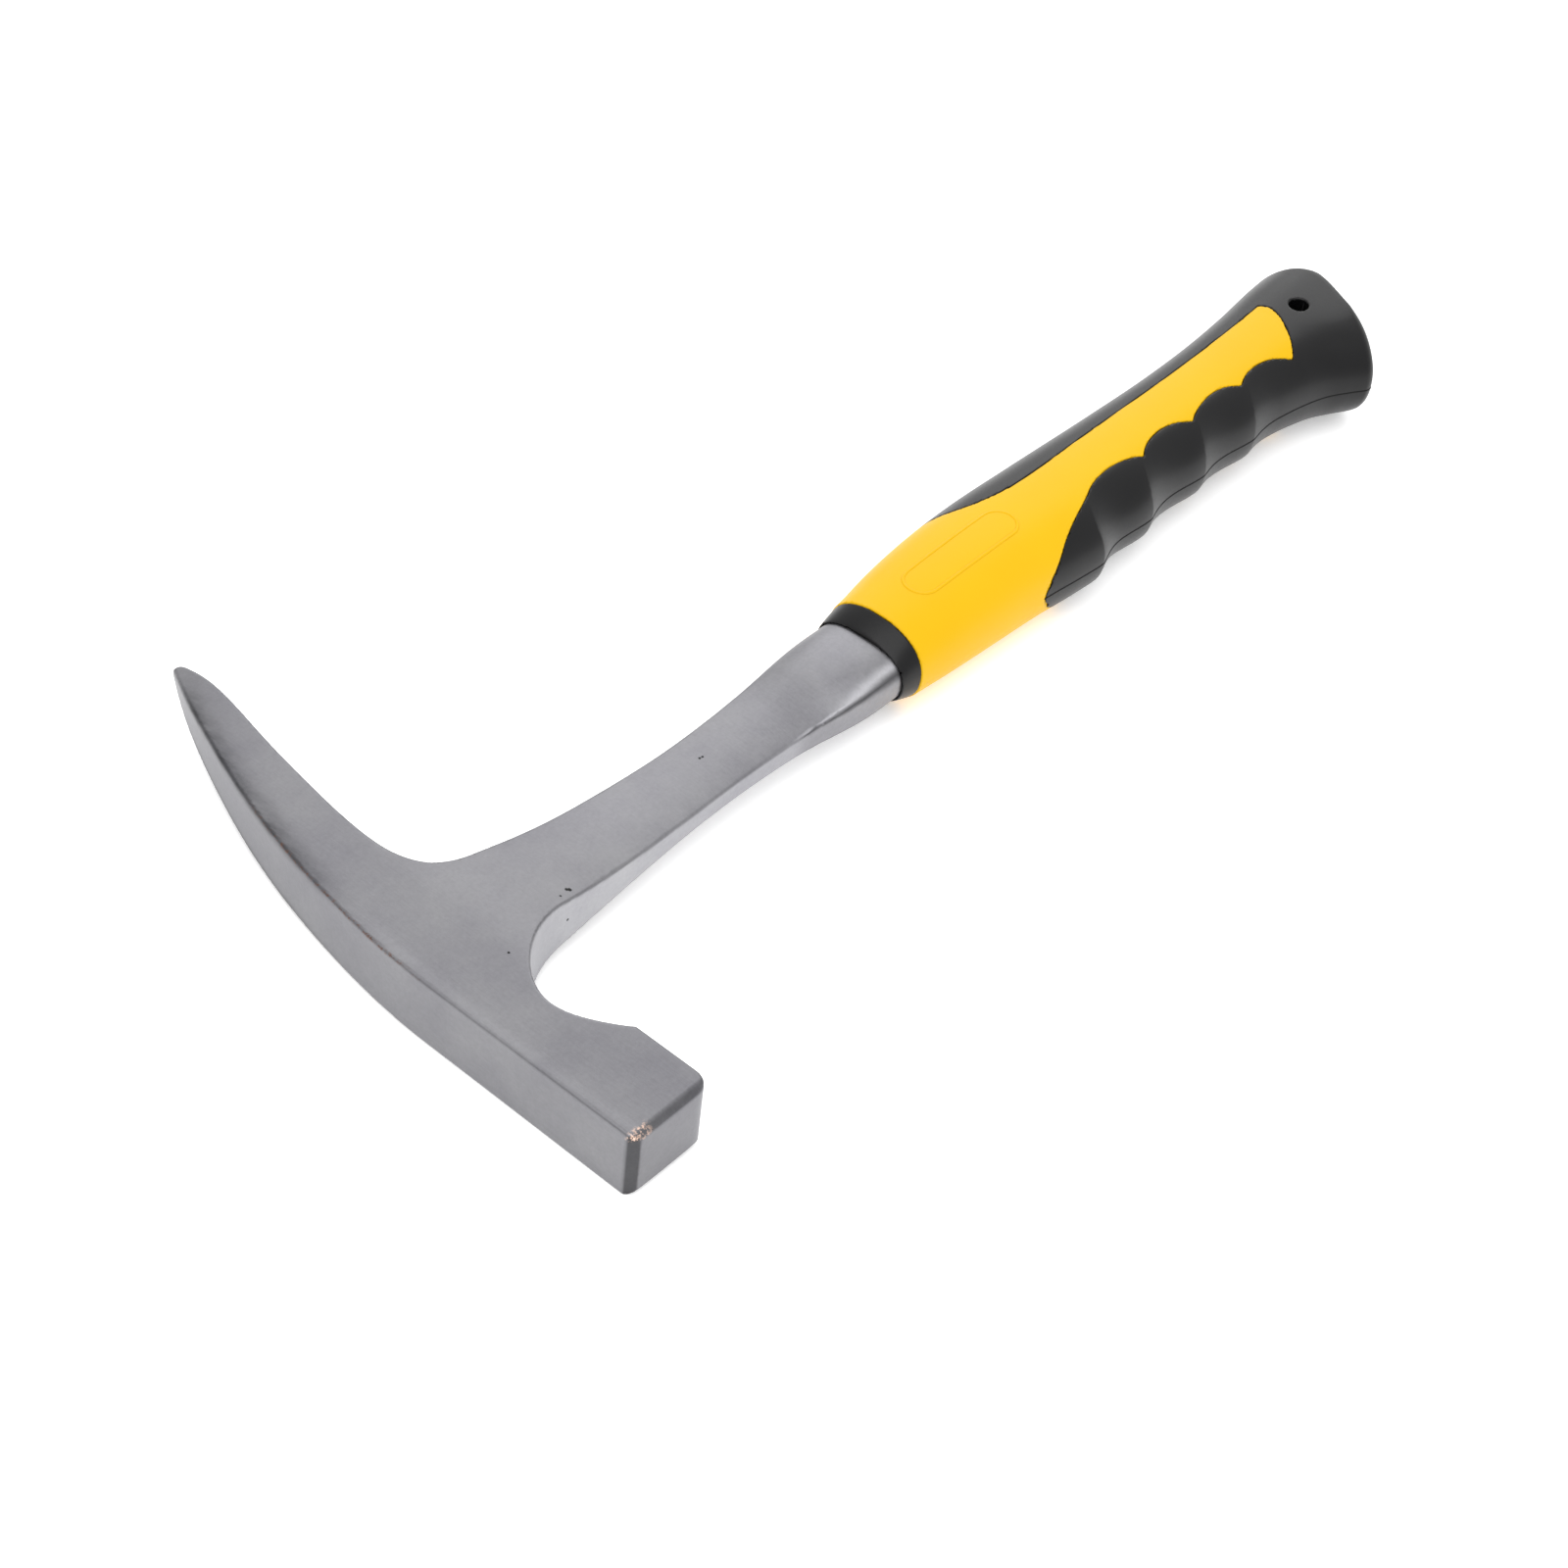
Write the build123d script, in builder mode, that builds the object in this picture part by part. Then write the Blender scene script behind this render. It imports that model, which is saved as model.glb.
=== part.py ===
from build123d import *
import os

# One-piece forged hammer with a square poll, a long pointed pick and a two-colour moulded grip.
# It lies on its side: +X runs from the crown of the head to the butt, +Y points to the pick and
# +Z is up. Lengths are in millimetres. Local x, y below are measured on the hammer's mid-plane,
# from the crown line and from the middle of the shank.

# Driving dimensions: head
face_y = -64.1            # striking face
tip_y = 100.3             # end of the pick
tip_x = 30.3              # droop of the pick towards the handle
poll_depth = 21.7         # crown to the underside of the poll
poll_half_thickness = 8.9
head_half_thickness = 8.5   # where the pick starts
pick_root = 12.0
face_chamfer = 1.4

# Driving dimensions: shank and tang
collar_front = 142.7
shank_half_width = 12.0   # at the collar
shank_half_thickness = 7.4
shank_start = 24.0
shank_root_width = 32.0
shank_root_length = 40.0
tang_end = 300.0
tang_width = 17.0
tang_thickness = 6.4
tang_hole_radius = 4.0
tang_holes = (186.0, 226.0, 266.0)

# Driving dimensions: grip
grip_front = 148.5
overall_length = 333.5
butt_half_thickness = 13.9   # up to the flats on its two cheeks
skin = 2.6                # thickness of the soft overmould
collar_lip = 0.5          # how far the collar stands proud of the steel
collar_half_width = shank_half_width + collar_lip
lanyard_x = 316.0
lanyard_y = 2.0
lanyard_radius = 2.5
first_ridge = 211.5
ridge_pitch = 21.2
groove_radius = 15.0
groove_floors = (-14.6, -14.1, -13.7, -14.0)

# The origin is the centre of the footprint, on the surface that the hammer lies on.
mid = Plane(origin=(-overall_length / 2, -(face_y + tip_y) / 2, butt_half_thickness))


def cross_plane(x):
    """A plane across the handle: its own x is the hammer's y, its own y is up."""
    return Plane(origin=mid.from_local_coords((x, 0, 0)), x_dir=(0, 1, 0), z_dir=(1, 0, 0))


def oval_bar(stations):
    """A bar through ovals given as (x, finger-side y, pick-side y, half thickness)."""
    with BuildPart() as bar:
        for x, finger_y, pick_y, half_thickness in stations:
            with BuildSketch(cross_plane(x)):
                with Locations(((finger_y + pick_y) / 2, 0)):
                    Ellipse((pick_y - finger_y) / 2, half_thickness)
        loft()
    return bar.part


# Plan view of the steel: crown, pick, shank and poll.
with BuildPart() as steel_plan:
    with BuildSketch(mid):
        with BuildLine():
            crown = Line((0, face_y), (0, -8))
            back = Spline(
                crown @ 1, (2.6, 21), (9.5, 51.5), (17.8, 74.5), (25.2, 91), (tip_x, tip_y),
                tangents=((0, 1), (0.62, 1)),
            )
            point = Line(back @ 1, (tip_x + 2.3, tip_y - 1.6))
            underside = Spline(
                point @ 1, (31.6, 88), (27.6, 71), (22.8, 47), (20.8, 28),
                tangents=((0, -1), (0, -1)),
            )
            throat = Spline(
                underside @ 1, (24.6, 16.0), (36.5, 12.0), (62, 9.8),
                tangents=((0, -1), (1, -0.04)),
            )
            waist = Spline(
                throat @ 1, (90, 8.9), (116, 10.1), (collar_front, shank_half_width),
                tangents=((1, -0.04), (1, 0.09)),
            )
            neck = Line(waist @ 1, (collar_front, -shank_half_width))
            finger_side = Spline(
                neck @ 1, (116, -9.5), (88, -8.7), (50, -10.1), (37, -10.3),
                tangents=((-1, 0.09), (-1, 0)),
            )
            gullet = Spline(
                finger_side @ 1, (24, -14.2), (14.4, -27.5), (18.4, -39.3), (poll_depth, -44),
                tangents=((-1, 0), (0.65, -0.75)),
            )
            belly = Line(gullet @ 1, (poll_depth, face_y))
            Line(belly @ 1, crown @ 0)
        make_face()
    extrude(amount=20, both=True)

# Thickness of the head: an even poll, then a taper along the pick to its point.
with BuildPart() as head_thickness:
    with BuildSketch(cross_plane(-5)):
        with BuildLine():
            side = Line((face_y - 5, poll_half_thickness), (pick_root, head_half_thickness))
            cheek = Spline(
                side @ 1, (40, 7.8), (64, 6.5), (86, 4.5), (tip_y + 1, 0.7),
                tangents=((1, -0.01), (1, -0.3)),
            )
            Line(cheek @ 1, (tip_y + 1, 0))
            mirror(about=Plane.XZ)
            Line((face_y - 5, poll_half_thickness), (face_y - 5, -poll_half_thickness))
        make_face()
    extrude(amount=50)
    with BuildSketch(mid):
        with Locations((shank_start + shank_root_length / 2, 0)):
            Rectangle(shank_root_length, shank_root_width)
    extrude(amount=20, both=True, mode=Mode.SUBTRACT)

# Thickness of the shank: a flat lens that becomes a full oval at the collar.
shank_thickness = oval_bar((
    (shank_start - 0.1, -30, 30, head_half_thickness - 0.1),
    (34, -21, 21, 7.4),
    (46, -15.6, 15.6, 6.0),
    (62, -12.8, 12.8, 4.7),
    (86, -11.8, 11.8, 3.9),
    (110, -12.0, 12.0, 4.3),
    (128, -12.3, 12.3, 5.6),
    (collar_front, -shank_half_width, shank_half_width, shank_half_thickness),
))

with BuildPart() as forged_head_and_shank:
    add(head_thickness.part)
    add(shank_thickness)
    add(steel_plan.part, mode=Mode.INTERSECT)
    chamfer(forged_head_and_shank.faces().sort_by(Axis.Y)[0].edges(), face_chamfer)
    with BuildSketch(cross_plane(collar_front)):
        Ellipse(shank_half_width, shank_half_thickness)
    extrude(amount=grip_front - collar_front)
    with BuildSketch(mid):
        with Locations(((collar_front + tang_end) / 2, 0)):
            SlotOverall(tang_end - collar_front, tang_width)
        with Locations([(x, 0) for x in tang_holes]):
            Circle(tang_hole_radius, mode=Mode.SUBTRACT)
    extrude(amount=tang_thickness / 2, both=True)

# Outside of the grip: an oval that swells for the palm, dips, and flares at the butt.
grip_swell = oval_bar((
    (grip_front, -13.6, 13.7, 10.7),
    (162, -14.4, 16.0, 11.7),
    (178, -15.3, 18.0, 12.7),
    (196, -17.0, 18.9, 13.2),
    (218, -17.8, 18.4, 13.1),
    (245, -16.2, 17.5, 12.6),
    (270, -15.2, 17.3, 12.3),
    (290, -15.4, 17.8, 12.6),
    (306, -17.4, 19.0, 13.2),
    (320, -23.2, 20.8, 14.1),
    (overall_length + 4, -25.0, 21.8, 14.6),
))

with BuildPart() as grip_body:
    add(grip_swell)
    with BuildSketch(mid):
        with BuildLine():
            slant = ThreePointArc((315.9, -24.2), (325.4, -9.2), (332.0, 2.4))
            corner = ThreePointArc(slant @ 1, (overall_length, 9.5), (327.7, 22.5))
            Polyline(corner @ 1, (120, 30), (120, -30), (315.9, -30), slant @ 0)
        make_face()
    extrude(amount=butt_half_thickness, both=True, mode=Mode.INTERSECT)
    with BuildSketch(mid):
        for number, floor_y in enumerate(groove_floors):
            groove_x = first_ridge + (number + 0.5) * ridge_pitch
            with Locations((groove_x, floor_y - groove_radius)):
                Circle(groove_radius)
    extrude(amount=20, both=True, mode=Mode.SUBTRACT)

# The space under the soft skin.
under_skin = oval_bar((
    (grip_front, -13.6 + skin, 13.7 - skin, 10.7 - skin),
    (196, -16.5 + skin, 18.5 - skin, 13.0 - skin),
    (255, -13.6 + skin, 17.0 - skin, 12.3 - skin),
    (310, -15.5 + skin, 18.0 - skin, 12.8 - skin),
))

# Plan view of the hard yellow surface: a full sleeve in front, then a window on each cheek.
with BuildPart() as window:
    with BuildSketch(mid):
        with BuildLine():
            start = Line((140, -30), (190, -30))
            front = Line(start @ 1, (190, -16.4))
            sweep_in = Spline(
                front @ 1, (197, -13.6), (211, -8.4), (222, -4.8),
                tangents=((0.2, 1), (1, 0.2)),
            )
            lobe_1 = ThreePointArc(sweep_in @ 1, (230.5, -3.6), (238.5, -6.7))
            lobe_2 = ThreePointArc(lobe_1 @ 1, (249, -4.2), (259, -6.5))
            lobe_3 = ThreePointArc(lobe_2 @ 1, (269.5, -4.2), (279.7, -6.3))
            lobe_4 = ThreePointArc(lobe_3 @ 1, (289.5, -4.6), (299, -8.5))
            end = ThreePointArc(lobe_4 @ 1, (306.6, -0.5), (310.4, 8.6))
            spine = Spline(
                end @ 1, (270, 8.5), (212, 7.1), (190.6, 11.3), (182, 18),
                tangents=((-1, 0), (-0.6, 1)),
            )
            Polyline(spine @ 1, (182, 30), (140, 30), (140, -30))
        make_face()
    extrude(amount=20, both=True)

with BuildPart() as lanyard_hole:
    with BuildSketch(mid):
        with Locations((lanyard_x, lanyard_y)):
            Circle(lanyard_radius)
    extrude(amount=20, both=True)

with BuildPart() as hard_grip:
    add(grip_body.part)
    add(window.part, mode=Mode.INTERSECT)
    add(under_skin)
    add(grip_body.part, mode=Mode.INTERSECT)
    add(lanyard_hole.part, mode=Mode.SUBTRACT)

with BuildPart() as grip_core:
    add(hard_grip.part)
    add(forged_head_and_shank.part, mode=Mode.SUBTRACT)

with BuildPart() as grip_overmould:
    add(grip_body.part)
    add(hard_grip.part, mode=Mode.SUBTRACT)
    add(lanyard_hole.part, mode=Mode.SUBTRACT)

collar_ring = oval_bar((
    (collar_front, -collar_half_width, collar_half_width, shank_half_thickness + collar_lip),
    (grip_front, -13.6, 13.7, 10.7),
))

with BuildPart() as front_collar:
    add(collar_ring)
    add(forged_head_and_shank.part, mode=Mode.SUBTRACT)

os.makedirs("parts", exist_ok=True)
for name, piece in (
    ("forged_head_and_shank", forged_head_and_shank),
    ("grip_core", grip_core),
    ("grip_overmould", grip_overmould),
    ("front_collar", front_collar),
):
    piece.part.label = name
    export_step(piece.part, f"parts/{name}.step")
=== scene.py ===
import math
from itertools import product

import bpy
import numpy as np
from mathutils import Matrix, Vector

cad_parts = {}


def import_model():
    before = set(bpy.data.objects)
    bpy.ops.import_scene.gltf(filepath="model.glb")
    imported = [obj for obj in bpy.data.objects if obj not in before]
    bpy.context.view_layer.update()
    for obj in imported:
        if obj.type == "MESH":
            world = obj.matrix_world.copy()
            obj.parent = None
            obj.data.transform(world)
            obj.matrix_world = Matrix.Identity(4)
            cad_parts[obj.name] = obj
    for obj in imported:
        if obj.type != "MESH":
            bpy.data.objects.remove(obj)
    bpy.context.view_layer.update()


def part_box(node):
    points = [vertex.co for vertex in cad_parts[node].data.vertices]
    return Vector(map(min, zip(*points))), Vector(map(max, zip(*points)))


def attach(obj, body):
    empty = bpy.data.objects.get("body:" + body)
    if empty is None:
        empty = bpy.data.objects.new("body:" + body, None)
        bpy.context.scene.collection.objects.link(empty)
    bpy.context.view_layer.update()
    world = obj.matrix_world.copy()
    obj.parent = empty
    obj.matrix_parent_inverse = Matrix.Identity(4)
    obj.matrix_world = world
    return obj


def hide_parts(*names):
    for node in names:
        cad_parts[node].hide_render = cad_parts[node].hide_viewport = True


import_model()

# A one-piece forged hammer with a pointed pick and a two-colour moulded grip.
# Shapes are worked out in the hammer's own millimetres: x from the crown of the head along the
# handle, y from the middle of the shank towards the pick, z up from the mid-plane.
# The steel, the two plastics and the collar are solids given by a field that is negative inside, and
# are meshed by surface_net. The seam and the label outlines are beads laid on the grip.

# Head and shank
FACE_Y, TIP_Y = -64.1, 100.1
TIP_X = 30.3
POLL_DEPTH = 21.7
FACE_CORNER = 2.1            # cut off the corner between the face and the crown
FACE_EDGE = 1.6              # chamfer along the two sides of the face
FACE_DOME = 0.0022           # how far the striking face falls away, per square millimetre
DOME_REACH = 12.0            # no further than this from the middle of the poll
ARRIS = 0.75                 # rounding of the long edges
NECK_START, NECK_END = 112.0, 141.0      # between these the shank turns into its neck
NECK_HALF_WIDTH, NECK_HALF_THICKNESS, NECK_SQUARENESS = 12.0, 7.3, 2.4
STEEL_THICKNESS = (          # along the pick: y, half thickness
    (-70, 8.85), (-30, 8.65), (10, 8.45), (35, 7.95), (60, 6.8), (80, 5.2), (92, 3.4), (100, 1.3))
SHANK_CREST = (              # along the shank: x, half thickness at the middle of the cheek
    (18, 8.4), (34, 7.1), (46, 5.6), (60, 4.4), (75, 3.6), (95, 3.4), (112, 3.9), (128, 5.3),
    (143, 7.4))
SHANK_EDGE = (               # along the shank: x, half thickness at its edges
    (18, 8.4), (34, 6.7), (46, 4.9), (60, 3.4), (75, 2.6), (95, 2.4), (112, 2.6), (128, 3.2),
    (143, 4.2))
SHANK_WIDTH = (              # along the shank: x, distance from its middle to its edges
    (18, 14), (34, 11), (60, 10), (90, 9), (116, 9.8), (143, 12))
TANG_END, TANG_HALF_WIDTH, TANG_HALF_THICKNESS = 300.0, 8.5, 3.2
TANG_HOLES, TANG_HOLE_RADIUS = (186.0, 226.0, 266.0), 4.0
CROWN = (                    # the crown line: y, x
    (-70, 0), (-8, 0), (21, 2.6), (51.5, 9.5), (74.5, 17.8), (91, 25.2), (TIP_Y, TIP_X))
PITS = (                     # small dark pits in the ground steel: x, y, z, radius
    (40.7, -8.0, 5.6, 0.5), (40.2, -7.6, 5.6, 0.45), (37.8, -8.2, 5.8, 0.3), (17.7, -13.4, 8.2, 0.3),
    (38.2, -10.4, 0.7, 0.35), (90.8, 1.4, 3.4, 0.38), (91.6, 1.3, 3.4, 0.32))

# Collar, from its front to the grip
COLLAR_FRONT, GRIP_FRONT = 142.7, 148.5
COLLAR_HALF_WIDTH, COLLAR_HALF_THICKNESS = (12.5, 13.55), (7.95, 10.6)
COLLAR_BULGE, COLLAR_SQUARENESS = 0.8, 2.2

# Grip
LENGTH = 333.5
FINGER_SIDE = (              # along the grip: x, finger side over the ridges
    (142, -13.2), (148.5, -13.6), (162, -14.3), (178, -14.9), (192, -15.6), (204, -16.8),
    (211.5, -17.3), (222, -16.3), (233, -15.3), (244, -14.5), (256, -14.2), (277, -14.2),
    (290, -14.3), (300, -15.1), (307, -17.2), (312, -19.8), (317, -22.6), (326, -24.2))
PICK_SIDE = (                # along the grip: x, pick side
    (142, 13.2), (148.5, 13.7), (162, 16.0), (178, 17.8), (194, 18.5), (215, 18.1),
    (245, 17.3), (270, 17.0), (288, 17.5), (305, 18.8), (322, 20.7), (342, 21.8))
GRIP_THICKNESS = (           # along the grip: x, half thickness
    (142, 10.3), (148.5, 10.7), (162, 11.7), (178, 12.5), (196, 12.8), (218, 12.7),
    (245, 12.3), (270, 12.1), (290, 12.4), (306, 13.0), (320, 14.0), (342, 14.5))
GRIP_SQUARENESS = 2.25
SKIN = 2.6                   # thickness of the soft overmould
HARD_END = 309.0             # the hard body under the skin stops here, short of the butt
GAP = 0.04                   # between the hard and the soft plastic where they show
RIDGES = (211.5, 233.5, 256.5, 277.5, 300.0)
SCOOP_DEPTHS = (1.7, 1.45, 1.25, 1.05)   # behind each ridge but the last
SCOOP_SKEW, SCOOP_SOFTNESS = 0.72, 1.6   # deepest before its middle, and eased in at the ridges
SCOOP_LEAN = 4.0             # how far the ridges run towards the butt on their way up the cheek
BUTT_HALF_THICKNESS = 13.87  # up to the flats that the butt lies on
BUTT_CHAMFER = 1.9
SEAM_WIDTH, SEAM_HEIGHT = 0.45, 0.1
LANYARD_X, LANYARD_Y, LANYARD_RADIUS = 316.0, 2.0, 2.5
LABEL_X, LABEL_Y, LABEL_LENGTH, LABEL_HALF_WIDTH = 177.4, 0.5, 36.5, 4.4
LABEL_LINE, LABEL_HEIGHT = 0.8, 0.15

steel_low, steel_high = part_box("forged_head_and_shank")
ORIGIN = np.array(
    (steel_low[0] * 1000, steel_low[1] * 1000 - FACE_Y, (steel_low[2] + steel_high[2]) * 500))


def world(points):
    """The hammer's own millimetres as metres in the shared frame."""
    return (np.asarray(points, float) + ORIGIN) / 1000


# --- Curves, fields and meshes ---------------------------------------------------------------

def eased(x, stations):
    """A smooth curve through (position, value) stations, read at x."""
    at, value = np.array(stations, float).T
    slope = np.gradient(value, at)
    x = np.clip(x, at[0], at[-1])
    i = np.clip(np.searchsorted(at, x) - 1, 0, len(at) - 2)
    span = at[i + 1] - at[i]
    t = (x - at[i]) / span
    ease = t * t * (3 - 2 * t)
    bend = span * t * (1 - t) * ((1 - t) * slope[i] - t * slope[i + 1])
    return (1 - ease) * value[i] + ease * value[i + 1] + bend


def smoothstep(x, start, end):
    t = np.clip((x - start) / (end - start), 0, 1)
    return t * t * (3 - 2 * t)


def curve(points, start=None, end=None, spacing=0.7):
    """Points along a smooth curve through the given ones; start and end are its end directions."""
    p = np.array(points, float)
    chord = np.hypot(*np.diff(p, axis=0).T)
    last = len(p) - 1
    system = np.zeros((last + 1, last + 1))
    right = np.zeros((last + 1, 2))
    for i in range(1, last):
        before, after = chord[i - 1], chord[i]
        system[i, i - 1:i + 2] = after, 2 * (before + after), before
        right[i] = 3 * (after * (p[i] - p[i - 1]) / before + before * (p[i + 1] - p[i]) / after)
    for i, beside, span, direction in ((0, 1, 0, start), (last, last - 1, -1, end)):
        if direction is None:
            system[i, i], system[i, beside] = 2, 1
            right[i] = 3 * (p[span] - p[span - 1] if span else p[1] - p[0]) / chord[span]
        else:
            system[i, i] = 1
            right[i] = np.array(direction) / np.hypot(*direction)
    slope = np.linalg.solve(system, right)
    out = []
    for i in range(last):
        t = np.linspace(0, 1, max(2, int(chord[i] / spacing)), endpoint=False)[:, None]
        ease = t * t * (3 - 2 * t)
        bend = chord[i] * t * (1 - t) * ((1 - t) * slope[i] - t * slope[i + 1])
        out.append((1 - ease) * p[i] + ease * p[i + 1] + bend)
    return np.vstack(out + [p[-1:]])


def plan_distance(outline, step=0.4, margin=12.0):
    """Signed distance to a closed outline in plan view, negative inside, as a function of x, y."""
    low, high = outline.min(0) - margin, outline.max(0) + margin
    xs, ys = (np.arange(a, b, step) for a, b in zip(low, high))
    spot = np.stack(np.meshgrid(xs, ys, indexing="ij"), -1).reshape(-1, 2)
    nearest = np.full(len(spot), np.inf)
    inside = np.zeros(len(spot), bool)
    for p, q in zip(outline, np.roll(outline, -1, 0)):
        edge = q - p
        if edge @ edge < 1e-12:
            continue
        t = np.clip((spot - p) @ edge / (edge @ edge), 0, 1)
        nearest = np.minimum(nearest, np.hypot(*(spot - p - t[:, None] * edge).T))
        if edge[1]:
            beside = p[0] + edge[0] * (spot[:, 1] - p[1]) / edge[1]
            inside ^= ((p[1] > spot[:, 1]) != (q[1] > spot[:, 1])) & (spot[:, 0] < beside)
    table = np.where(inside, -nearest, nearest).reshape(len(xs), len(ys))

    def read(x, y):
        u = np.clip((x - low[0]) / step, 0, len(xs) - 1.001)
        v = np.clip((y - low[1]) / step, 0, len(ys) - 1.001)
        i, j = u.astype(int), v.astype(int)
        u, v = u - i, v - j
        return ((table[i, j] * (1 - u) + table[i + 1, j] * u) * (1 - v)
                + (table[i, j + 1] * (1 - u) + table[i + 1, j + 1] * u) * v)

    return read


def rounded_cut(a, b, radius):
    """What is inside both fields, with a rounded edge where they meet."""
    u, v = np.maximum(a + radius, 0), np.maximum(b + radius, 0)
    return np.minimum(np.maximum(a, b), -radius) + np.sqrt(u * u + v * v)


def gradient(field, p, reach=0.05):
    parts = []
    for axis in range(3):
        ahead, behind = p.copy(), p.copy()
        ahead[:, axis] += reach
        behind[:, axis] -= reach
        parts.append((field(*ahead.T) - field(*behind.T)) / (2 * reach))
    return np.stack(parts, 1)


def settled(field, points):
    """Points moved along the field's slope onto its surface, with the outward directions there."""
    points = np.array(points, float)
    for _ in range(8):
        slope = gradient(field, points)
        steepness = np.maximum((slope ** 2).sum(1, keepdims=True), 0.05)
        points -= field(*points.T)[:, None] * slope / steepness
    slope = gradient(field, points)
    return points, slope / np.linalg.norm(slope, axis=1, keepdims=True)


def surface_net(field, low, high, step):
    """Vertices, quads and normals of the surface field = 0, from a grid, pulled onto the surface."""
    axes = [np.arange(a, b + step, step) for a, b in zip(low, high)]
    x, y, z = (axis.reshape([-1 if i == j else 1 for j in range(3)]) for i, axis in enumerate(axes))
    value = np.broadcast_to(field(x, y, z), [len(axis) for axis in axes])
    inside = value < 0
    size = [n - 1 for n in value.shape]
    corners = list(product((0, 1), repeat=3))
    count = sum(
        inside[i:i + size[0], j:j + size[1], k:k + size[2]].astype(np.int8) for i, j, k in corners)
    cells = np.argwhere((count > 0) & (count < 8))
    index = np.full(size, -1)
    index[tuple(cells.T)] = np.arange(len(cells))
    total, crossings = np.zeros((len(cells), 3)), np.zeros((len(cells), 1))
    for corner in corners:
        for axis in range(3):
            if corner[axis]:
                continue
            other = np.array(corner)
            other[axis] = 1
            at_a, at_b = value[tuple((cells + corner).T)], value[tuple((cells + other).T)]
            crosses = (at_a < 0) != (at_b < 0)
            t = np.where(crosses, at_a / np.where(crosses, at_a - at_b, 1), 0)
            total += np.where(crosses[:, None], np.array(corner) + t[:, None] * (other - corner), 0)
            crossings += crosses[:, None]
    points = np.array(low) + (cells + total / crossings) * step
    quads = []
    for axis in range(3):
        u, v = (axis + 1) % 3, (axis + 2) % 3
        ahead = np.moveaxis(inside, axis, 0)
        changes = np.argwhere(np.moveaxis(ahead[1:] != ahead[:-1], 0, axis))
        keep = (changes[:, u] > 0) & (changes[:, v] > 0)
        keep &= (changes[:, u] < size[u]) & (changes[:, v] < size[v])
        changes = changes[keep]
        ring = []
        for du, dv in ((-1, -1), (0, -1), (0, 0), (-1, 0)):
            cell = changes.copy()
            cell[:, u] += du
            cell[:, v] += dv
            ring.append(index[tuple(cell.T)])
        ring = np.stack(ring, 1)
        starts_outside = ~inside[tuple(changes.T)]
        ring[starts_outside] = ring[starts_outside][:, ::-1]
        quads.append(ring)
    for _ in range(3):
        slope = gradient(field, points)
        steepness = np.maximum((slope ** 2).sum(1), 0.05)
        move = -field(*points.T)[:, None] * slope / steepness[:, None]
        length = np.maximum(np.linalg.norm(move, axis=1, keepdims=True), 1e-9)
        points += move * np.minimum(1, 0.4 * step / length)
    slope = gradient(field, points)
    normals = slope / np.maximum(np.linalg.norm(slope, axis=1, keepdims=True), 1e-9)
    return points, np.vstack(quads), normals


def add_piece(name, points, faces, material, slot, node=None, normals=None, **attributes):
    """A mesh object on the root body, from points in the hammer's own millimetres."""
    mesh = bpy.data.meshes.new(name)
    mesh.from_pydata(world(points).tolist(), [], faces.tolist() if hasattr(faces, "tolist") else faces)
    mesh.update()
    mesh.shade_smooth()
    if normals is not None:
        mesh.normals_split_custom_set_from_vertices(normals.tolist())
    for key, values in attributes.items():
        layer = mesh.attributes.new(key, "FLOAT", "POINT")
        layer.data.foreach_set("value", np.ascontiguousarray(values, np.float32))
    mesh.materials.append(material)
    piece = bpy.data.objects.new(name, mesh)
    bpy.context.scene.collection.objects.link(piece)
    if node:
        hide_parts(node)
    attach(piece, "root")
    return piece


def bead(path, outward, width, height, closed):
    """Points and faces of a low rounded bead along a path, standing up from it by height."""
    path, outward = np.asarray(path, float), np.asarray(outward, float)
    along = np.gradient(path, axis=0) if not closed else np.roll(path, -1, 0) - np.roll(path, 1, 0)
    along /= np.linalg.norm(along, axis=1, keepdims=True)
    side = np.cross(along, outward)
    ring = 8
    angles = np.arange(ring) * 2 * math.pi / ring
    points = np.concatenate([
        path + side * (math.cos(a) * width / 2) + outward * (math.sin(a) * height) for a in angles])
    rows, faces = len(path), []
    for i in range(ring):
        a, b = i * rows, (i + 1) % ring * rows
        for j in range(rows if closed else rows - 1):
            k = (j + 1) % rows
            faces.append((a + j, b + j, b + k, a + k))
    if not closed:
        faces.append([i * rows for i in range(ring)][::-1])
        faces.append([i * rows + rows - 1 for i in range(ring)])
    return points, faces


# --- Steel: head, shank and tang --------------------------------------------------------------

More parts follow.
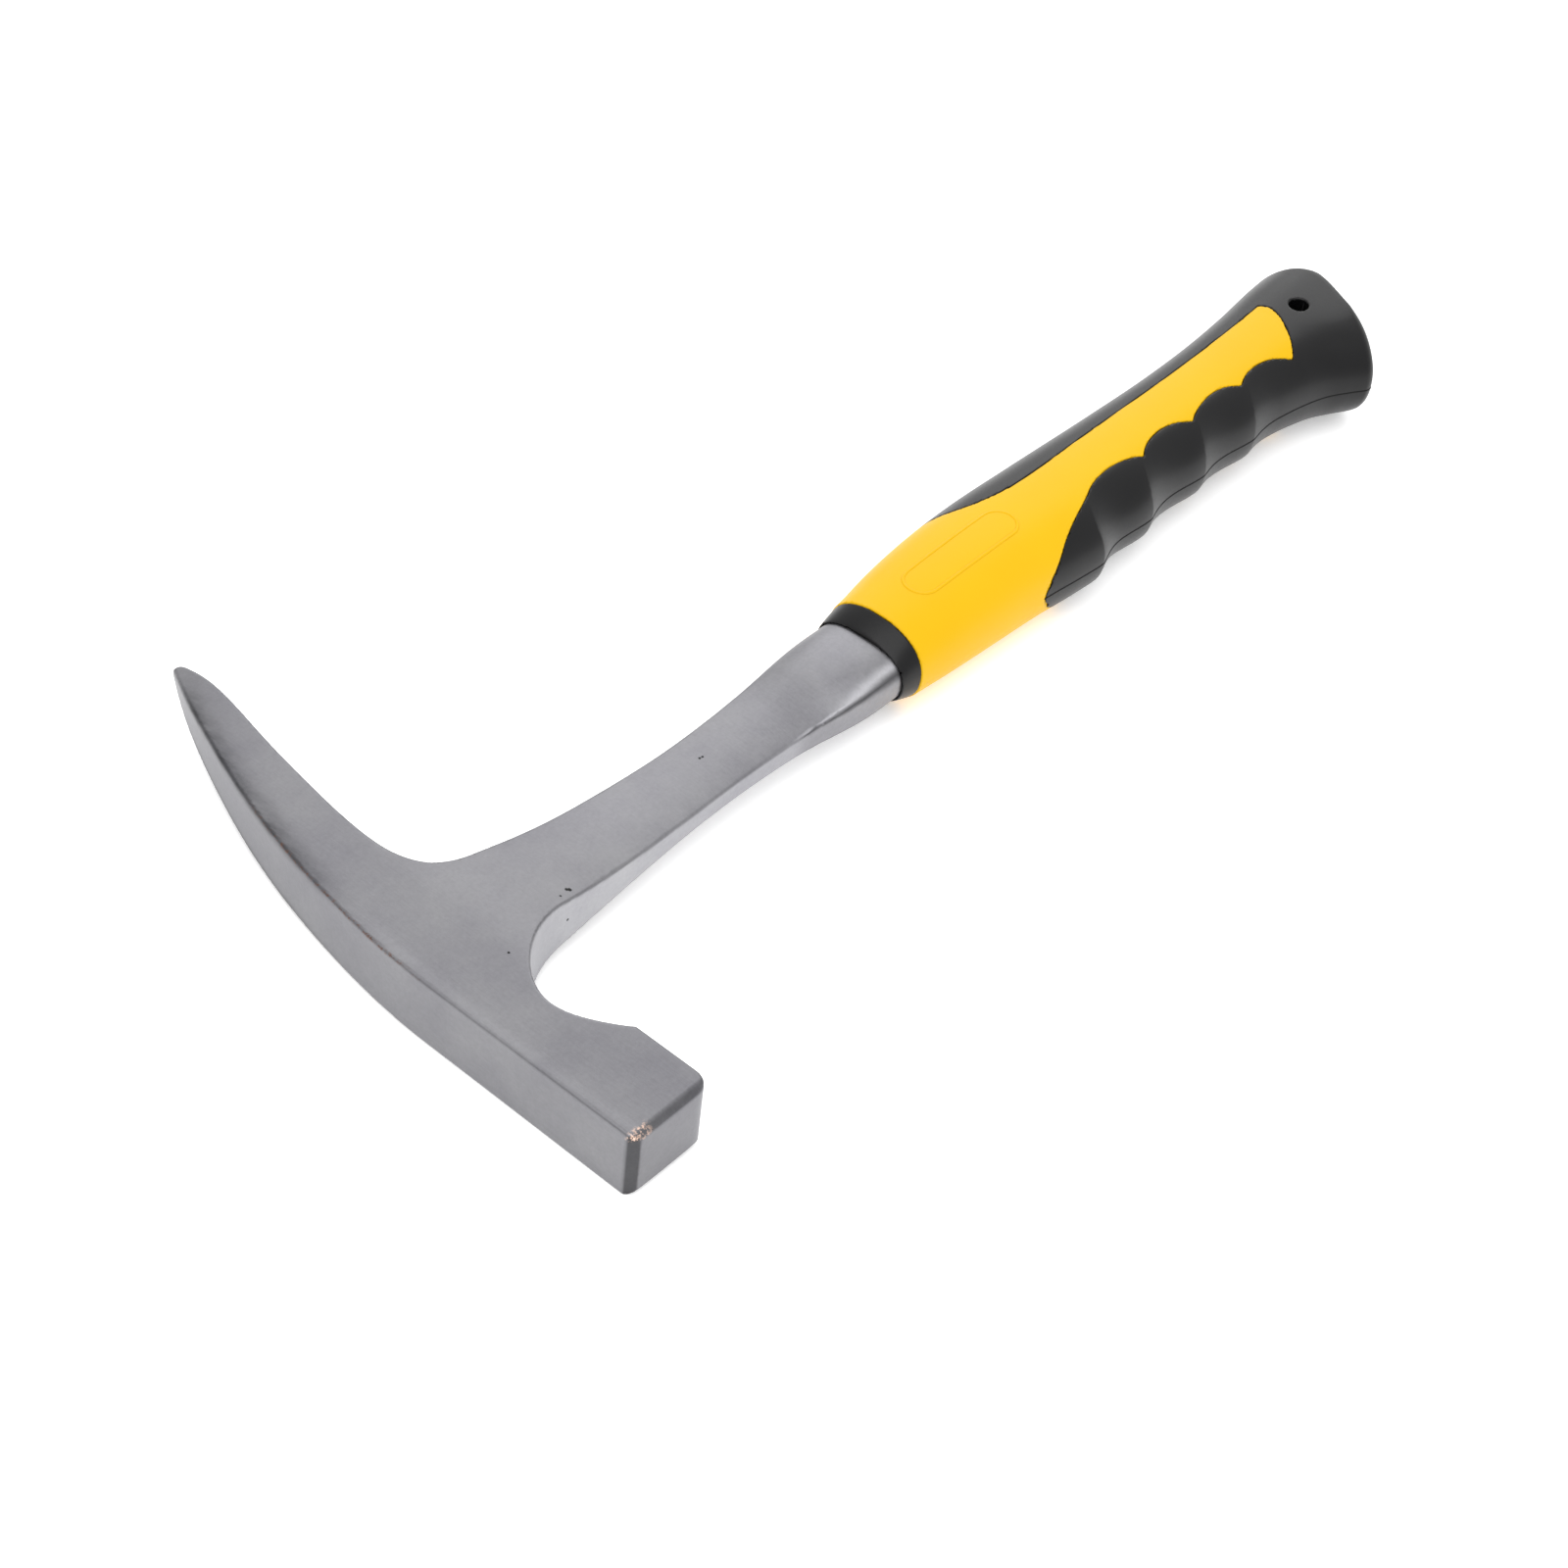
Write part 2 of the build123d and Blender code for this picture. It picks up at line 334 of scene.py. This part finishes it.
steel_outline = np.vstack((
    [(0, FACE_Y + FACE_CORNER), (0, -8)],
    curve([(0, -8), (2.6, 21), (9.5, 51.5), (17.8, 74.5), (25.2, 91), (TIP_X, TIP_Y)],
          (0, 1), (0.62, 1)),
    curve([(TIP_X, TIP_Y), (TIP_X + 1.6, TIP_Y - 0.1), (TIP_X + 2.3, TIP_Y - 1.6)],
          (0.9, 0.5), (0.1, -1)),
    curve([(TIP_X + 2.3, TIP_Y - 1.6), (31.6, 88), (27.6, 71), (22.8, 47), (20.8, 28)],
          (0, -1), (0, -1)),
    curve([(20.8, 28), (24.6, 16.0), (36.5, 12.0), (62, 9.8)], (0, -1), (1, -0.04)),
    curve([(62, 9.8), (90, 8.9), (116, 10.1), (COLLAR_FRONT, NECK_HALF_WIDTH)], (1, -0.04), (1, 0.09)),
    [(GRIP_FRONT, NECK_HALF_WIDTH), (GRIP_FRONT, -NECK_HALF_WIDTH)],
    curve([(COLLAR_FRONT, -NECK_HALF_WIDTH), (116, -9.5), (88, -8.7), (50, -10.1), (37, -10.3)],
          (-1, 0.09), (-1, 0)),
    curve([(37, -10.3), (24, -14.2), (14.4, -27.5), (18.4, -39.3), (POLL_DEPTH, -44)],
          (-1, 0), (0.65, -0.75)),
    curve([(POLL_DEPTH, FACE_Y + 4.2), (POLL_DEPTH - 1.2, FACE_Y + 1.2), (POLL_DEPTH - 4.2, FACE_Y)],
          (0, -1), (-1, 0)),
    [(FACE_CORNER, FACE_Y)],
))
steel_plan = plan_distance(steel_outline)


def tang_field(x, y, z, clearance=0.0):
    """The flat tang inside the grip, with its through holes."""
    along = np.clip(x, COLLAR_FRONT, TANG_END - TANG_HALF_WIDTH)
    plan = np.hypot(x - along, y) - TANG_HALF_WIDTH
    for hole_x in TANG_HOLES:
        plan = np.maximum(plan, TANG_HOLE_RADIUS - np.hypot(x - hole_x, y))
    return rounded_cut(plan, np.abs(z) - TANG_HALF_THICKNESS, 0.5) - clearance


def shank_thickness(x, y):
    """Half thickness of the shank: a flat arc from its edges to the crest of the cheek."""
    across = np.minimum((y / eased(x, SHANK_WIDTH)) ** 2, 1)
    edge = eased(x, SHANK_EDGE)
    return edge + (eased(x, SHANK_CREST) - edge) * (1 - across)


def steel_thickness(x, y):
    """Half thickness anywhere on the plan: the head, eased into the shank."""
    on_shank = smoothstep(x, 14, 32) * (1 - smoothstep(np.abs(y), 22, 34))
    return eased(y, STEEL_THICKNESS) * (1 - on_shank) + shank_thickness(x, y) * on_shank


def steel_parts(x, y, z):
    """Distances to the plan outline and to the cheek, and the rounding where the two meet."""
    thickness = steel_thickness(x, y)
    plan = steel_plan(x, y)
    radius = np.minimum(ARRIS, 0.45 * thickness)
    return plan, np.abs(z) - thickness, radius


def neck_field(y, z):
    """Section of the shank where the collar grips it: flat cheeks with round shoulders."""
    n = NECK_SQUARENESS
    size = (np.abs(y / NECK_HALF_WIDTH) ** n + np.abs(z / NECK_HALF_THICKNESS) ** n) ** (1 / n)
    return (size - 1) * NECK_HALF_THICKNESS


def steel_field(x, y, z):
    """The whole forging: head and shank, domed face, neck and tang."""
    plan, cheek, radius = steel_parts(x, y, z)
    body = rounded_cut(plan, cheek, radius)
    from_middle = np.clip(x - POLL_DEPTH / 2, -DOME_REACH, DOME_REACH)
    dome = FACE_Y - y + FACE_DOME * (from_middle ** 2 + z ** 2)
    face_edge = (cheek + FACE_Y - y + FACE_EDGE) * math.sqrt(0.5)
    body = rounded_cut(rounded_cut(body, dome, 0.5), face_edge, 0.3)
    neck = np.maximum(neck_field(y, z), x - GRIP_FRONT)
    round_neck = smoothstep(x, NECK_START, NECK_END)
    body = body * (1 - round_neck) + neck * round_neck
    return np.minimum(body, tang_field(x, y, z))


# --- Grip -------------------------------------------------------------------------------------

def scoop(x, y):
    """How deep the finger side is scooped out behind each ridge, fading up the cheek."""
    fade = smoothstep(-y, 4.5, 15)
    along = x - SCOOP_LEAN * (1 - fade)
    depth = np.zeros_like(along)
    for start, end, deep in zip(RIDGES, RIDGES[1:], SCOOP_DEPTHS):
        t = np.clip((along - start) / (end - start), 0, 1)
        depth = depth + deep * np.sin(math.pi * t ** SCOOP_SKEW) ** SCOOP_SOFTNESS
    return depth * fade


def grip_sides(x, y, z):
    """Superelliptic section of the grip, as a distance that is right near the surface."""
    half_thickness = eased(x, GRIP_THICKNESS)
    half_width = np.where(y > 0, eased(x, PICK_SIDE), -eased(x, FINGER_SIDE))
    n = GRIP_SQUARENESS
    v, w = np.abs(y) / half_width + 1e-6, np.abs(z) / half_thickness + 1e-6
    size = (v ** n + w ** n) ** (1 / n)
    steepness = size ** (1 - n) * np.hypot(v ** (n - 1) / half_width, w ** (n - 1) / half_thickness)
    return (size - 1) / steepness


butt_plan = plan_distance(np.vstack((
    curve([(316.8, -26.5), (320.2, -20.5), (324, -14.2), (327.3, -7.4), (330.4, -1.0), (332.6, 4.4),
           (333.4, 9.5), (332.6, 15), (330.6, 19), (327, 24)]),
    [(120, 40), (120, -40)],
)))
window_plan = plan_distance(np.vstack((
    [(130, -40), (190, -40)],
    curve([(190, -16.6), (193.2, -15.0), (201, -12.1), (211, -8.4), (217, -6.2)], (0.1, 1), (1, 0.45)),
    curve([(217, -6.2), (222.5, -4.6), (228, -4.2), (233, -4.7), (238.5, -6.7)], (1, 0.45), (1, -0.6)),
    curve([(238.5, -6.7), (243, -4.4), (248, -3.5), (253.5, -4.1), (259, -6.5)], (1, 0.9), (1, -0.6)),
    curve([(259, -6.5), (264, -4.5), (269.5, -3.6), (274.5, -4.0), (279.7, -6.3)], (1, 0.7), (1, -0.6)),
    curve([(279.7, -6.3), (284, -4.7), (289, -4.4), (294, -5.6), (299, -8.5)], (1, 0.6), (1, -0.7)),
    curve([(299, -8.5), (305.8, -1.3), (310.2, 7.0)], (0.9, 0.7), (0.2, 1)),
    curve([(309.8, 9.8), (290, 9.1), (270, 8.6), (222, 7.4), (207, 7.2), (197.7, 8.6), (190.6, 11.3),
           (181.5, 17)], (-1, -0.05), (-1, 0.35)),
    [(181, 40), (130, 40)],
)))


def grip_outside(x, y, z):
    """The whole grip: its sides, scoops and flats, with a soft chamfer round the butt."""
    sides = rounded_cut(grip_sides(x, y, z) + scoop(x, y), np.abs(z) - BUTT_HALF_THICKNESS, 0.8)
    end = butt_plan(x, y) + 0 * z
    chamfer = (sides + end + BUTT_CHAMFER) * math.sqrt(0.5)
    return rounded_cut(rounded_cut(sides, chamfer, 0.9), end, 1.2)


def under_skin(x, y, z):
    """The hard body out of sight, which follows the scoops a little."""
    inside = np.maximum(grip_sides(x, y, z) + SKIN + 0.6 * scoop(x, y), x - HARD_END)
    return rounded_cut(inside, GRIP_FRONT - x, 0.3)


def core_field(x, y, z):
    """The hard yellow plastic: what shows, and the body under the skin, less the tang."""
    window = np.maximum(window_plan(x, y), GRIP_FRONT - x)
    surface = rounded_cut(grip_outside(x, y, z), window + 0 * z, 0.15)
    return np.maximum(np.minimum(surface, under_skin(x, y, z)), -tang_field(x, y, z, 0.02))


def overmould_field(x, y, z):
    """The soft black skin, with the lanyard hole through it."""
    soft = rounded_cut(grip_outside(x, y, z), GAP - window_plan(x, y) + 0 * z, 0.3)
    soft = np.maximum(soft, 0.02 - under_skin(x, y, z))
    return rounded_cut(soft, LANYARD_RADIUS - np.hypot(x - LANYARD_X, y - LANYARD_Y), 0.5)


def collar_field(x, y, z):
    """The ring round the neck, which flares from the steel to the grip."""
    length = GRIP_FRONT - COLLAR_FRONT
    flare = np.clip((x - COLLAR_FRONT) / length, 0, 1) ** COLLAR_BULGE
    half_width, half_thickness = (
        front + (rear - front) * flare for front, rear in (COLLAR_HALF_WIDTH, COLLAR_HALF_THICKNESS))
    n = COLLAR_SQUARENESS
    size = (np.abs(y / half_width) ** n + np.abs(z / half_thickness) ** n) ** (1 / n)
    ends = np.abs(x - (COLLAR_FRONT + GRIP_FRONT) / 2) - length / 2 + 0.05
    return np.maximum(rounded_cut((size - 1) * half_thickness, ends, 0.35), 0.02 - neck_field(y, z))


# --- Materials --------------------------------------------------------------------------------

class Nodes:
    """A short way to write a node material."""

    def __init__(self, name):
        self.material = bpy.data.materials.new(name)
        self.material.use_nodes = True
        self.tree = self.material.node_tree
        self.tree.nodes.clear()
        self.shader = self.add("ShaderNodeBsdfPrincipled")
        out = self.add("ShaderNodeOutputMaterial")
        self.tree.links.new(self.shader.outputs[0], out.inputs["Surface"])
        self.position = self.add("ShaderNodeTexCoord").outputs["Object"]

    def add(self, kind, inputs=(), **settings):
        node = self.tree.nodes.new(kind)
        for key, value in settings.items():
            setattr(node, key, value)
        for key, value in dict(inputs).items():
            self.set(node.inputs[key], value)
        return node

    def set(self, socket, value):
        if isinstance(value, bpy.types.NodeSocket):
            self.tree.links.new(value, socket)
        else:
            socket.default_value = value

    def noise(self, scale, stretch=(1, 1, 1), detail=3.0, rough=0.55):
        at = self.add("ShaderNodeMapping", {"Vector": self.position, "Scale": stretch})
        node = self.add("ShaderNodeTexNoise", {
            "Vector": at.outputs[0], "Scale": scale, "Detail": detail, "Roughness": rough})
        return node.outputs[0]

    def math(self, operation, a, b=0.0):
        return self.add("ShaderNodeMath", {0: a, 1: b}, operation=operation).outputs[0]

    def remap(self, value, low, high, to_low=0.0, to_high=1.0):
        return self.add("ShaderNodeMapRange", {
            0: value, 1: low, 2: high, 3: to_low, 4: to_high}).outputs[0]

    def mix(self, factor, a, b):
        node = self.add("ShaderNodeMix", {"Factor": factor}, data_type="RGBA")
        self.set(node.inputs[6], a)
        self.set(node.inputs[7], b)
        return node.outputs[2]

    def shade(self, colour, factor):
        """The colour times a grey factor."""
        grey = self.add("ShaderNodeCombineColor", {0: factor, 1: factor, 2: factor}).outputs[0]
        node = self.add("ShaderNodeMix", {"Factor": 1.0}, data_type="RGBA", blend_type="MULTIPLY")
        self.set(node.inputs[6], colour)
        self.set(node.inputs[7], grey)
        return node.outputs[2]

    def bump(self, height, distance, strength=1.0, under=None):
        node = self.add("ShaderNodeBump", {"Height": height, "Distance": distance, "Strength": strength})
        if under is not None:
            self.set(node.inputs["Normal"], under)
        return node.outputs[0]

    def attribute(self, name):
        return self.add("ShaderNodeAttribute", attribute_name=name).outputs["Fac"]

    def finish(self, **inputs):
        for key, value in inputs.items():
            self.set(self.shader.inputs[key.replace("_", " ")], value)
        return self.material


def steel_material():
    """Ground steel: fine lines along the hammer's y, dark edges, a dark band by the crown, rust, chips,
    pits and painted light and shade.
    """
    n = Nodes("ground_steel")
    blotches = n.noise(38, detail=5, rough=0.6)
    lines = n.noise(2200, (1, 0.06, 1), detail=4, rough=0.6)
    mottle = n.noise(1100, detail=5, rough=0.7)
    tone = n.remap(blotches, 0.3, 0.7, 0.90, 1.10)
    tone = n.math("ADD", tone, n.remap(lines, 0.25, 0.75, -0.07, 0.07))
    tone = n.math("ADD", tone, n.remap(mottle, 0.3, 0.7, -0.06, 0.06))
    edge, corner, dark_crown_band, gleam = (n.attribute(name) for name in ("edge", "corner", "dark_crown_band", "gleam"))
    base = n.mix(n.remap(blotches, 0.35, 0.65), (0.184, 0.182, 0.197, 1), (0.204, 0.203, 0.212, 1))
    base = n.shade(base, tone)
    # Painted light and shade: the gleam attribute multiplies the colour by 0.4 to 2.8.
    base = n.shade(base, n.remap(gleam, -1, 3, 0.4, 2.8))
    base = n.shade(base, n.remap(edge, 0, 1, 1, 0.48))
    base = n.shade(base, n.remap(corner, 0, 1, 1, 0.36))
    smear = n.remap(n.noise(420, (1, 0.35, 1), detail=5), 0.3, 0.65, 0.45, 1.0)
    # Darker, streaked band along the crown's edge on the pick.
    base = n.shade(base, n.remap(n.math("MULTIPLY", dark_crown_band, smear), 0, 1, 1, 0.38))
    wear = n.remap(n.noise(1300, detail=5, rough=0.7), 0.48, 0.60)
    rust = n.math("MULTIPLY", n.remap(n.attribute("rust"), 0, 0.6), wear)
    base = n.mix(rust, base, (0.16, 0.075, 0.045, 1))
    chips = n.math("MULTIPLY", n.attribute("chips"), wear)
    base = n.mix(chips, base, (0.85, 0.60, 0.48, 1))
    places, _ = settled(steel_field, [pit[:3] for pit in PITS])
    for spot, (*_, radius) in zip(world(places).tolist(), PITS):
        distance = n.add("ShaderNodeVectorMath", {0: n.position, 1: spot}, operation="DISTANCE")
        apart = n.math("ADD", distance.outputs["Value"], n.remap(mottle, 0.3, 0.7, -0.0001, 0.0001))
        pit = n.remap(apart, radius * 0.0007, radius * 0.0011, 1, 0)
        base = n.mix(pit, base, (0.02, 0.02, 0.02, 1))
    roughness = n.remap(blotches, 0.3, 0.7, 0.38, 0.46)
    roughness = n.math("ADD", roughness, n.remap(lines, 0.3, 0.7, -0.03, 0.05))
    normal = n.bump(lines, 0.00002, 0.6)
    normal = n.bump(mottle, 0.00003, 0.5, normal)
    normal = n.bump(blotches, 0.0004, 0.35, normal)
    return n.finish(Base_Color=base, Roughness=roughness, Metallic=1.0, Normal=normal)


def yellow_material():
    n = Nodes("yellow_plastic")
    cloud = n.noise(30, detail=3)
    grain = n.noise(1500, detail=3)
    base = n.mix(n.remap(cloud, 0.35, 0.65), (0.71, 0.412, 0.004, 1), (0.73, 0.427, 0.005, 1))
    roughness = n.remap(grain, 0.3, 0.7, 0.36, 0.44)
    normal = n.bump(grain, 0.00001, 0.5)
    return n.finish(Base_Color=base, Roughness=roughness, Normal=normal, IOR=1.22)


def rubber_material(name, colour, roughness):
    n = Nodes(name)
    cloud = n.noise(60, detail=3)
    grain = n.noise(2800, detail=3)
    base = n.shade(colour, n.remap(cloud, 0.3, 0.7, 0.9, 1.1))
    normal = n.bump(grain, 0.00003, 0.6)
    rough = n.remap(grain, 0.3, 0.7, roughness - 0.04, roughness + 0.05)
    return n.finish(Base_Color=base, Roughness=rough, Normal=normal, IOR=1.35)


# --- Pieces -----------------------------------------------------------------------------------

def steel_looks(points, normals):
    """What the colour of the steel follows at each vertex, from 0 to 1, and gleam, about 0.

    The gleam is light and shade painted into the colour. On the real steel they are reflections.
    """
    x, y, z = points.T
    facing_crown, facing_finger = -normals[:, 0], -normals[:, 1]
    plan, cheek, radius = steel_parts(x, y, z)
    on_arris = np.clip(np.minimum(plan, cheek) / (0.6 * radius) + 1.2, 0, 1)
    on_arris = on_arris * (1 - smoothstep(x, 95, 115))
    on_cheek = smoothstep(np.abs(normals[:, 2]), 0.6, 0.9)
    at_face = 1 - smoothstep(y, FACE_Y + FACE_EDGE, FACE_Y + FACE_EDGE + 0.7)
    at_face = at_face * smoothstep(cheek, -1.5, -0.9)
    from_crown = x - eased(y, CROWN)
    by_crown = np.exp(-(from_crown / 3.6) ** 2)
    gullet = smoothstep(-facing_crown, 0.1, 0.6) * smoothstep(-y, 8, 16) * smoothstep(y, -44, -30)

    # Painted reflections on the shoulder below the collar: a bright line, a dark one, then the side.
    shoulder = smoothstep(x, 108, 116)
    bright_line = np.exp(-((facing_finger - 0.57) / 0.12) ** 2) * shoulder
    dark_line = np.exp(-((facing_finger - 0.80) / 0.09) ** 2) * shoulder
    side = smoothstep(facing_finger, 0.9, 0.97) * shoulder
    finger_strip = smoothstep(facing_finger, 0.35, 0.8) * smoothstep(x, 17, 26) * (1 - shoulder)

    # Painted light as well: a band along the crown, the crown's surface, the cheeks of the shank, and
    # the finger side and gullet are made lighter.
    light_band = np.exp(-((from_crown - 2.2) / 1.3) ** 2) * smoothstep(cheek, -0.6, 0)
    light_band = light_band * (1 - smoothstep(y, 0, 25))
    gleam = 0.2 * smoothstep(facing_crown, 0.5, 0.9)
    gleam = gleam + on_cheek * (0.2 * smoothstep(x, 40, 70) + 0.15 * smoothstep(x, 112, 130))
    gleam = gleam + 2.3 * bright_line - 0.9 * dark_line + 0.5 * side
    gleam = gleam + 0.16 * light_band + 1.2 * np.maximum(finger_strip, gullet)

    # A darker band along the crown's edge on the pick, on the cheek by the arris.
    dark_crown_band = by_crown * smoothstep(y, 8, 45) * (1 - smoothstep(y, 84, 97)) * smoothstep(cheek, -2.5, -0.3)
    rust = on_arris * (from_crown < 4) * smoothstep(y, -12, 5) * (1 - smoothstep(y, 38, 60))
    chips = smoothstep(z, 7.2, 7.9) * (1 - smoothstep(x, 3.5, 6.0))
    chips = chips * (1 - smoothstep(y, FACE_Y + 1.8, FACE_Y + 3.0))
    return {
        "edge": np.maximum(on_arris * np.where(from_crown < 4, 0.45, 1 - 0.4 * gullet), 0.55 * at_face),
        "corner": 1 - smoothstep(x + y - FACE_Y, FACE_CORNER + 0.1, FACE_CORNER + 0.4),
        "dark_crown_band": dark_crown_band, "rust": rust, "chips": chips, "gleam": gleam}


steel_step, grip_step = ((0.6, 0.5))
steel = steel_material()
yellow = yellow_material()
rubber = rubber_material("black_rubber", (0.003, 0.003, 0.0035, 1), 0.34)
seam_rubber = rubber_material("seam_rubber", (0.0015, 0.0015, 0.0015, 1), 0.8)

points, quads, normals = surface_net(
    steel_field, (-1.5, FACE_Y - 1.5, -10), (TANG_END + 1, TIP_Y + 1.5, 10), steel_step)
looks = steel_looks(points, normals)
add_piece("forged_steel", points, quads, steel, "steel", "forged_head_and_shank", normals, **looks)

points, quads, normals = surface_net(
    core_field, (GRIP_FRONT - 1, -20, -14.5), (312, 21, 14.5), grip_step)
add_piece("yellow_core", points, quads, yellow, "yellow_plastic", "grip_core", normals)

points, quads, normals = surface_net(
    overmould_field, (179, -25, -15.5), (LENGTH + 1.5, 24, 15.5), grip_step)
add_piece("black_overmould", points, quads, rubber, "black_rubber", "grip_overmould", normals)

points, quads, normals = surface_net(
    collar_field, (COLLAR_FRONT - 1, -15, -12), (GRIP_FRONT + 1, 15, 12), grip_step)
add_piece("black_collar", points, quads, rubber, "black_rubber", "front_collar", normals)

# Moulding seam of the overmould, along its mid-plane. It dips under the surface for about 17 mm, on
# the finger side of the butt's end.
finger_x, pick_x = np.arange(191, 319, 0.6), np.arange(331, 184, -0.6)
seam = np.vstack((
    np.column_stack((finger_x, eased(finger_x, FINGER_SIDE))),
    curve([(327.3, -7.4), (332.6, 4.4), (333.4, 9.5), (332.6, 15)]),
    np.column_stack((pick_x, eased(pick_x, PICK_SIDE))),
))
seam, outward = settled(grip_outside, np.column_stack((seam, np.zeros(len(seam)))))
shape = bead(seam, outward, SEAM_WIDTH, SEAM_HEIGHT, closed=False)
add_piece("moulding_seam", *shape, seam_rubber, "black_rubber")

# Raised outline of an empty label, on each cheek of the yellow sleeve.
straight = LABEL_LENGTH / 2 - LABEL_HALF_WIDTH
turn = np.linspace(-math.pi / 2, math.pi / 2, 24)
half_round = np.stack((straight + LABEL_HALF_WIDTH * np.cos(turn), LABEL_HALF_WIDTH * np.sin(turn)), 1)
run = np.linspace(straight, -straight, 30)[1:-1]
half_stadium = np.vstack((half_round, np.stack((run, np.full(len(run), LABEL_HALF_WIDTH)), 1)))
stadium = np.vstack((half_stadium, -half_stadium)) + (LABEL_X, LABEL_Y)
for side, cheek_name in ((1, "upper"), (-1, "lower")):
    path = np.column_stack((stadium, np.full(len(stadium), side * 12.0)))
    path, outward = settled(grip_sides, path)
    shape = bead(path, outward, LABEL_LINE, LABEL_HEIGHT, closed=True)
    add_piece("label_outline_" + cheek_name, *shape, yellow, "yellow_plastic")


# --- Stage, lights and camera -----------------------------------------------------------------

def add_floor():
    """A pale floor through the lowest points of the head and of the butt.

    The belly of the grip bulges about 1 mm through it, out of sight.
    """
    head_low, butt_low = steel_low[2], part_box("grip_overmould")[0][2]
    head_x, butt_x = float(world((10, 0, 0))[0]), float(world((325, 0, 0))[0])
    tilt = math.atan2(head_low - butt_low, butt_x - head_x)
    bpy.ops.mesh.primitive_plane_add(size=12, location=(butt_x, 0, butt_low), rotation=(0, tilt, 0))
    floor = bpy.context.object
    floor.name = "floor"
    n = Nodes("floor")
    base = n.shade((0.95, 0.95, 0.95, 1), n.remap(n.noise(3), 0.3, 0.7, 0.99, 1.0))
    glow = {"Emission_Color": (1, 1, 1, 1), "Emission_Strength": 0.35}
    floor.data.materials.append(n.finish(Base_Color=base, Roughness=0.8, **glow))


def add_area_light(name, offset, size, power):
    light = bpy.data.lights.new(name, "AREA")
    light.shape = "RECTANGLE"
    light.size, light.size_y = size
    light.energy = power
    lamp = bpy.data.objects.new(name, light)
    bpy.context.scene.collection.objects.link(lamp)
    lamp.location = Vector(offset)
    lamp.rotation_euler = (-Vector(offset)).to_track_quat("-Z", "Y").to_euler()


def add_camera():
    """The camera of the reference view: seen from the striking face's side and from above."""
    azimuth, elevation, roll = (math.radians(v) for v in (-54.0, 43.6, 7.3))
    distance, target = 691.4, (100.85, -14.23, 0.0)
    level_part = math.cos(elevation)
    back = Vector((
        math.sin(azimuth) * level_part, -math.cos(azimuth) * level_part, math.sin(elevation)))
    level = Vector((math.cos(azimuth), math.sin(azimuth), 0))
    raised = back.cross(level)
    right = math.cos(roll) * level + math.sin(roll) * raised
    up = -math.sin(roll) * level + math.cos(roll) * raised
    camera = bpy.data.objects.new("camera", bpy.data.cameras.new("camera"))
    bpy.context.scene.collection.objects.link(camera)
    turn = Matrix((right, up, back)).transposed().to_4x4()
    camera.matrix_world = Matrix.Translation(Vector(world(target)) + back * distance / 1000) @ turn
    camera.data.lens = 74.25
    camera.data.sensor_width = 36
    camera.data.clip_end = 50
    bpy.context.scene.camera = camera


add_floor()
add_area_light("key", (-0.5, -0.3, 1.6), (1.8, 1.8), 18)
add_area_light("fill", (1.3, 1.0, 1.1), (1.6, 1.6), 11)
sky = bpy.data.worlds.new("studio")
sky.use_nodes = True
sky.node_tree.nodes["Background"].inputs["Color"].default_value = (1, 1, 1, 1)
sky.node_tree.nodes["Background"].inputs["Strength"].default_value = 0.9
bpy.context.scene.world = sky
bpy.context.scene.view_settings.view_transform = "Standard"
add_camera()
